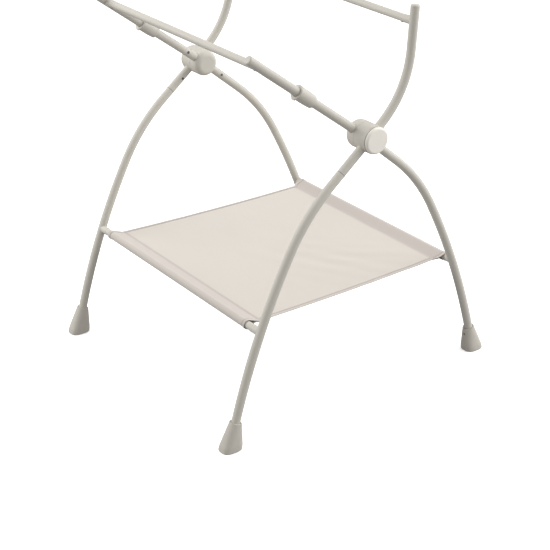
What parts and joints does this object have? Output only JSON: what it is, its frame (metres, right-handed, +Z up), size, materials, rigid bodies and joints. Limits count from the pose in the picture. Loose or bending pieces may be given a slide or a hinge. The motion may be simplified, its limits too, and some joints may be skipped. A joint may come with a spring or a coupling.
{
  "type": "folding stand with fabric shelf",
  "caption": "Folding X-frame stand of bent tubes on flared feet, with round pivot hubs and a fabric shelf; its upright arms hold a baby's seat or bath.",
  "frame": {"origin": "on the floor, under the middle of the pivot axis", "axes": "+X from hub to hub towards the right, +Y from the front to the rear, +Z up"},
  "size_m": [0.684, 0.7456, 0.8604],
  "materials": {
    "frame_paint": "warm pale grey satin powder coat",
    "trim_plastic": "fine matte, moulded, same shade as the tubes",
    "hub_plastic": "satin, moulded",
    "cap_plastic": "semi-gloss, off-white",
    "foot_plastic": "matte, a little darker than the tubes",
    "button_plastic": "dark matte",
    "spacer_plastic": "dark, slippery",
    "screw_steel": "dark plated",
    "pivot_steel": "zinc plated",
    "sleeve_steel": "plain drawn steel",
    "core_aluminium": "as cast",
    "shelf_fabric": "light cream polyester weave"
  },
  "bodies": {
    "outer_frame": {"front_foot_left": "foot_plastic", "front_foot_right": "foot_plastic", "front_foot_screws": "screw_steel", "front_leg_sleeves": "sleeve_steel", "front_leg_tube_left": "frame_paint", "front_leg_tube_right": "frame_paint", "front_leg_upper_tube_left": "frame_paint", "front_leg_upper_tube_right": "frame_paint", "front_shelf_bar": "frame_paint", "front_shelf_bar_screws": "screw_steel", "front_shelf_bar_sockets": "trim_plastic", "front_shelf_sleeve": "shelf_fabric", "hub_cap_left": "cap_plastic", "hub_cap_right": "cap_plastic", "hub_spacers": "spacer_plastic", "outer_frame_rivets": "screw_steel", "outer_hub_core_left": "core_aluminium", "outer_hub_core_right": "core_aluminium", "outer_hub_shell_left": "hub_plastic", "outer_hub_shell_right": "hub_plastic", "pivot_bolts": "pivot_steel", "pivot_nuts": "pivot_steel", "pivot_washers": "pivot_steel", "rear_arm_caps": "trim_plastic", "rear_arm_tube_left": "frame_paint", "rear_arm_tube_right": "frame_paint", "rear_top_rail": "frame_paint", "rear_top_rail_screws": "screw_steel", "rear_top_rail_sockets": "trim_plastic", "shelf_panel": "shelf_fabric", "snap_button_spring_left": "pivot_steel", "snap_button_spring_right": "pivot_steel"},
    "inner_frame": {"front_arm_caps": "trim_plastic", "front_arm_collar_left": "trim_plastic", "front_arm_collar_right": "trim_plastic", "front_arm_lower_tube_left": "frame_paint", "front_arm_lower_tube_right": "frame_paint", "front_arm_spigots": "sleeve_steel", "front_arm_upper_tube_left": "frame_paint", "front_arm_upper_tube_right": "frame_paint", "front_top_rail": "frame_paint", "front_top_rail_screws": "screw_steel", "front_top_rail_sockets": "trim_plastic", "inner_frame_rivets": "screw_steel", "inner_hub_core_left": "core_aluminium", "inner_hub_core_right": "core_aluminium", "inner_hub_shell_left": "hub_plastic", "inner_hub_shell_right": "hub_plastic", "rear_foot_left": "foot_plastic", "rear_foot_right": "foot_plastic", "rear_foot_screws": "screw_steel", "rear_leg_tube_left": "frame_paint", "rear_leg_tube_right": "frame_paint", "rear_shelf_bar": "frame_paint", "rear_shelf_bar_screws": "screw_steel", "rear_shelf_bar_sockets": "trim_plastic", "rear_shelf_sleeve": "shelf_fabric"},
    "snap_button_right": {"snap_button_right": "button_plastic"},
    "snap_button_left": {"snap_button_left": "button_plastic"}
  },
  "joints": [
    {"name": "fold", "type": "hinge", "parent": "outer_frame", "child": "inner_frame", "pos_m": [0, 0, 0.604], "axis": [-1, 0, 0], "range_deg": [0, 55], "deforming": ["shelf_panel"]},
    {"name": "press_right", "type": "slide", "parent": "outer_frame", "child": "snap_button_right", "axis": [1, 0, 0], "range_m": [0, 0.0026], "stiffness_N_per_m": 800, "deforming": ["snap_button_spring_right"]},
    {"name": "press_left", "type": "slide", "parent": "outer_frame", "child": "snap_button_left", "axis": [-1, 0, 0], "range_m": [0, 0.0026], "stiffness_N_per_m": 800, "deforming": ["snap_button_spring_left"]}
  ]
}
